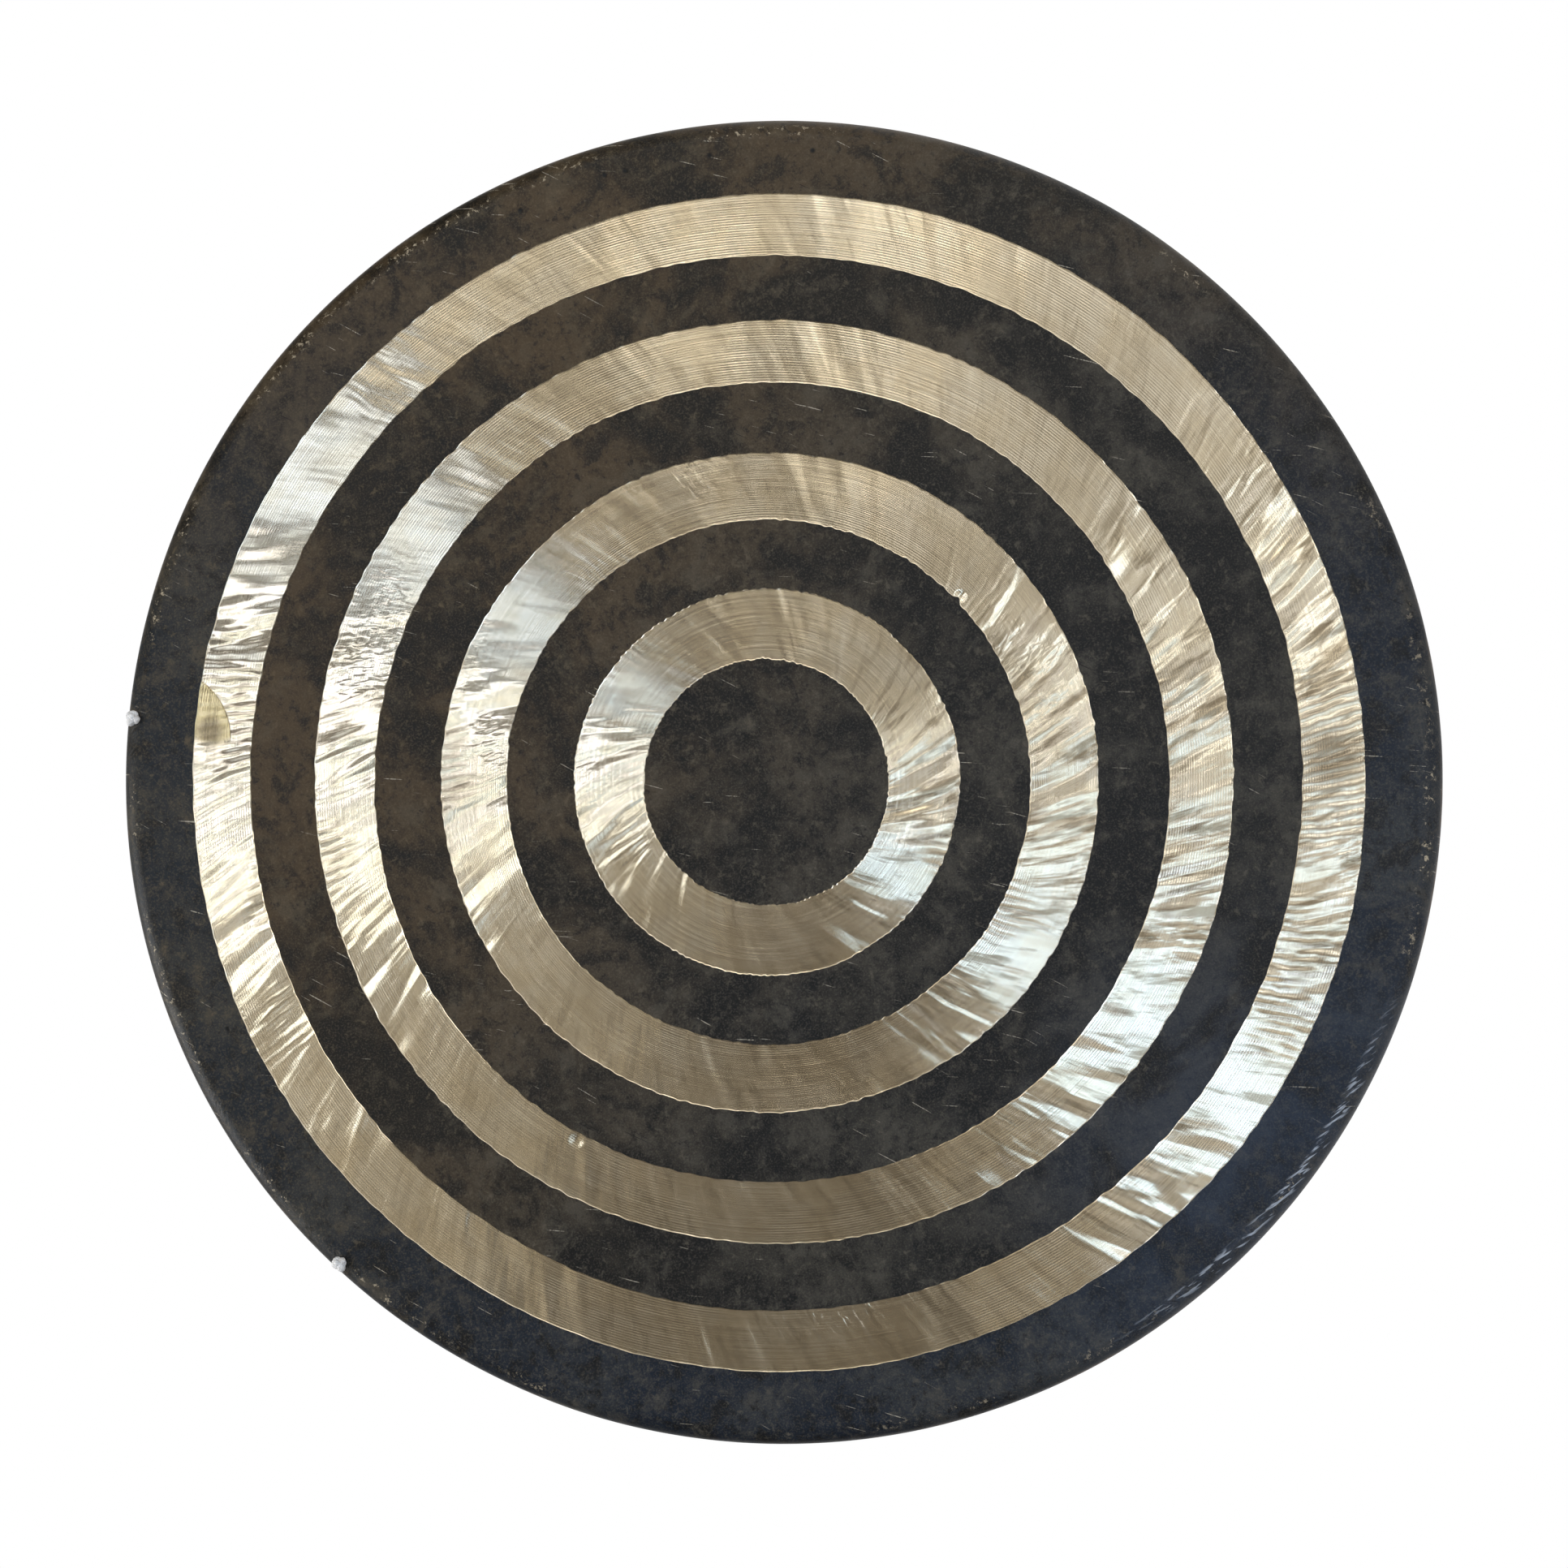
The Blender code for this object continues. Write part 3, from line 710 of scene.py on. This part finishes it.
def braided_tube(name, points, material, spacing=0.0007, sides=32):
    """Return a braided cord along these points, with its ends closed and rounded."""
    path = smooth_points(points, spacing)
    along = (path[1] - path[0]).normalized()
    side = along.orthogonal().normalized()
    shape = bmesh.new()
    layer = shape.loops.layers.uv.new("braid")
    rings = []
    lengths = []
    length = 0.0
    for index, point in enumerate(path):
        before, after = path[max(index - 1, 0)], path[min(index + 1, len(path) - 1)]
        along = (after - before).normalized()
        side = (side - along * side.dot(along)).normalized()
        other = along.cross(side)
        if index:
            length += (point - path[index - 1]).length
        ring = []
        for step in range(sides):
            turn = step / sides
            radius = CORD_RADIUS - BRAID_RELIEF * (1.0 - braid_height(turn, length))
            swing = 2 * math.pi * turn
            ring.append(shape.verts.new(point + (side * math.cos(swing) + other * math.sin(swing)) * radius))
        rings.append(ring)
        lengths.append(length)
    for index in range(len(rings) - 1):
        for step in range(sides):
            after = (step + 1) % sides
            corners = (rings[index][step], rings[index][after], rings[index + 1][after], rings[index + 1][step])
            face = shape.faces.new(corners)
            turns = (step / sides, (step + 1) / sides, (step + 1) / sides, step / sides)
            spans = (lengths[index], lengths[index], lengths[index + 1], lengths[index + 1])
            for loop, turn, span in zip(face.loops, turns, spans):
                loop[layer].uv = (span, turn)
            face.smooth = True
    for ring, point, sign in ((rings[0], path[0], -1), (rings[-1], path[-1], 1)):
        tip = shape.verts.new(point + (path[1] - path[0] if sign < 0 else path[-1] - path[-2]).normalized() * sign * 0.0005)
        for step in range(sides):
            face = shape.faces.new((ring[step], ring[(step + 1) % sides], tip)[::sign])
            face.smooth = True
    mesh = bpy.data.meshes.new(name)
    shape.to_mesh(mesh)
    shape.free()
    mesh.materials.append(material)
    item = bpy.data.objects.new(name, mesh)
    bpy.context.scene.collection.objects.link(item)
    return item, path


def bezier(start, start_pull, end_pull, end, count):
    """Return evenly stepped points on one cubic curve."""
    points = []
    for step in range(count + 1):
        t = step / count
        s = 1.0 - t
        points.append(start * s ** 3 + start_pull * 3 * s * s * t + end_pull * 3 * s * t * t + end * t ** 3)
    return points


def knotted_end(side):
    """Return the points of one end of the cord: through its hole, and tied in an overhand knot."""
    route_end = Vector(RIGHT_ROUTE[-1])
    mouth = route_end + MOUTH_FROM_ROUTE
    radial = Vector((mouth.x, 0.0, mouth.z - CENTRE.z)).normalized()
    radial.x *= side
    outward = radial * math.sin(HOLE_TILT) + FACE_OUT * math.cos(HOLE_TILT)
    sideways = radial.cross(FACE_OUT)
    upward = outward.cross(sideways)
    mouth.x *= side
    middle = mouth + outward * (SHEET + CORD_GAP + CORD_RADIUS + KNOT_RISE - KNOT_SINK) - upward * KNOT_INWARD
    start = Vector((side * (route_end.x + CORD_GAP), route_end.y, route_end.z))
    inward = Vector((side, 0.0, 0.0))
    reach = (start - mouth).length
    straight = start + inward * CORD_RADIUS
    points = [start, *bezier(straight, straight + inward * reach * 0.3, mouth - outward * reach * 0.45, mouth, 7)]
    points.append(mouth + outward * (SHEET + CORD_GAP))
    first, last, count = math.radians(205), math.radians(205 + 318), 34
    for step in range(count + 1):
        t = first + (last - first) * step / count
        across = KNOT_LOOP * (math.sin(t) + 2 * math.sin(2 * t))
        along = KNOT_FLAT * KNOT_LOOP * (math.cos(t) - 2 * math.cos(2 * t))
        points.append(middle + sideways * across + upward * along - outward * (KNOT_RISE * math.sin(3 * t)))
    away = (points[-1] - points[-2]).normalized()
    points.append(points[-1] + (away - upward * 0.8).normalized() * KNOT_TAIL)
    return points


def add_cord(material):
    """Lay the run of cord behind the plate, and its two knotted ends through the holes."""
    left = [(-x, y, z) for x, y, z in RIGHT_ROUTE[:0:-1]]
    run, path = braided_tube("cord_run", left + RIGHT_ROUTE, material)
    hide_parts("hanging_cord")
    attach(run, "hanger")
    for side, word in ((1, "right"), (-1, "left")):
        end, _ = braided_tube("cord_end_" + word, knotted_end(side), material)
        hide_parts("knot_" + word)
        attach(end, "gong")


def area_light(name, bearing, lean, distance, width, height, power, colour=(1.0, 1.0, 1.0)):
    """Add a soft light, placed by its bearing in the picture and its lean from the face's normal."""
    along = PICTURE_RIGHT * math.cos(bearing) + PICTURE_UP * math.sin(bearing)
    direction = along * math.sin(lean) + FACE_OUT * math.cos(lean)
    side = FACE_OUT.cross(along)
    data = bpy.data.lights.new(name, "AREA")
    data.shape = "RECTANGLE"
    data.size = width
    data.size_y = height
    data.energy = power
    data.color = colour
    light = bpy.data.objects.new(name, data)
    bpy.context.scene.collection.objects.link(light)
    turn = Matrix((side, direction.cross(side), direction)).transposed().to_4x4()
    light.matrix_world = Matrix.Translation(CENTRE + direction * distance) @ turn
    light.visible_camera = False
    return light


def add_lights():
    """Light the gong with soft boxes whose bearings give its rings their bright and dark sectors."""
    boxes = [
        ("left_upper", 172, 25, 2.2, 0.16, 0.5, 1.80, (0.93, 1.00, 1.20)),
        ("left_lower", 188, 25, 2.2, 0.16, 0.5, 1.65, (0.92, 1.00, 1.08)),
        ("left_high", 150, 36, 2.2, 0.22, 0.9, 1.90, (0.85, 1.00, 1.27)),
        ("left_side", 196, 56, 2.2, 0.20, 0.5, 2.60, (1.00, 1.00, 1.00)),
        ("right_upper", 16, 25, 2.2, 0.16, 0.5, 1.60, (0.92, 1.00, 1.12)),
        ("right_low", -38, 12, 2.2, 0.30, 0.5, 1.50, (0.67, 1.00, 1.45)),
        ("right_side", -38, 40, 2.2, 0.36, 0.5, 2.40, (0.69, 1.00, 1.58)),
        ("right_edge", -38, 60, 2.2, 0.40, 0.5, 0.90, (0.80, 1.00, 1.20)),
        ("top_right", 70, 38, 2.2, 0.90, 0.5, 2.15, (1.03, 1.00, 0.93)),
        ("top", 96, 38, 2.2, 0.90, 0.5, 3.15, (1.03, 1.00, 0.94)),
        ("top_left", 121, 40, 2.2, 0.90, 0.5, 3.80, (1.02, 1.00, 0.95)),
        ("bottom_left", 220, 38, 2.2, 0.80, 0.5, 1.05, (1.08, 1.00, 0.84)),
        ("bottom", 300, 42, 2.2, 0.80, 0.6, 1.80, (1.05, 1.00, 0.90)),
        ("overhead", 201, 82, 2.0, 1.20, 1.2, 20.0, (1.00, 1.00, 1.00)),
        ("behind", 201, 168, 2.2, 1.60, 1.2, 26.0, (1.00, 1.00, 1.00)),
    ]
    for name, bearing, lean, distance, width, height, power, colour in boxes:
        area_light(name, math.radians(bearing), math.radians(lean), distance, width, height, power, colour)


def add_world():
    """A plain studio: white where the camera or a polished surface looks behind the gong."""
    world = bpy.data.worlds.new("studio")
    bpy.context.scene.world = world
    world.use_nodes = True
    nodes = Nodes(world.node_tree)
    background = world.node_tree.nodes["Background"]
    way = nodes.add("ShaderNodeTexCoord").outputs["Generated"]
    parts = nodes.add("ShaderNodeSeparateXYZ", None, Vector=way)
    behind = nodes.ramp(parts.outputs["Y"], 0.45, 0.80)
    rays = nodes.add("ShaderNodeLightPath")
    mirror = nodes.math("MAXIMUM", rays.outputs["Is Glossy Ray"], rays.outputs["Is Transmission Ray"])
    seen = nodes.math("MULTIPLY", mirror, behind)
    white = nodes.math("MAXIMUM", rays.outputs["Is Camera Ray"], seen)
    colour = nodes.mix(white, rgb(0.132, 0.118, 0.099), rgb(1.0, 1.0, 1.0))
    nodes.feed(background, "Color", colour)
    background.inputs["Strength"].default_value = 1.0


def add_floor():
    """A plain pale floor below the hanging gong, which turns to plain white away from it."""
    bpy.ops.mesh.primitive_plane_add(size=16.0, location=(0.0, 0.0, cad_box[0][2] - FLOOR_DROP))
    floor = bpy.context.object
    floor.name = "floor"
    material, nodes, shader = new_material("floor")
    shader.inputs["Base Color"].default_value = rgb(0.85, 0.85, 0.85)
    shader.inputs["Roughness"].default_value = 0.9
    white = nodes.add("ShaderNodeEmission", None, Color=rgb(1.0, 1.0, 1.0), Strength=1.0)
    rays = nodes.add("ShaderNodeLightPath")
    mirror = nodes.math("MAXIMUM", rays.outputs["Is Glossy Ray"], rays.outputs["Is Transmission Ray"])
    seen = nodes.math("MAXIMUM", rays.outputs["Is Camera Ray"], mirror)
    reach = nodes.vector("LENGTH", nodes.add("ShaderNodeTexCoord").outputs["Object"]).outputs["Value"]
    far = nodes.ramp(reach, FLOOR_PALE_TO[0], FLOOR_PALE_TO[1])
    blend = nodes.add("ShaderNodeMixShader", None, i0=nodes.math("MULTIPLY", seen, far), i1=shader, i2=white)
    nodes.feed(material.node_tree.nodes["Material Output"], "Surface", blend)
    floor.data.materials.append(material)


def build():
    """Dress the whole gong."""
    add_camera()
    add_cord(braided_nylon())
    skin = plate_skin([lathed_bronze(), forged_skin("forged_skin", True), forged_skin("forged_back", False)])
    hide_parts("gong_plate")
    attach(skin, "gong")
    add_lights()
    add_world()
    add_floor()
    bpy.context.scene.view_settings.view_transform = "Standard"


build()
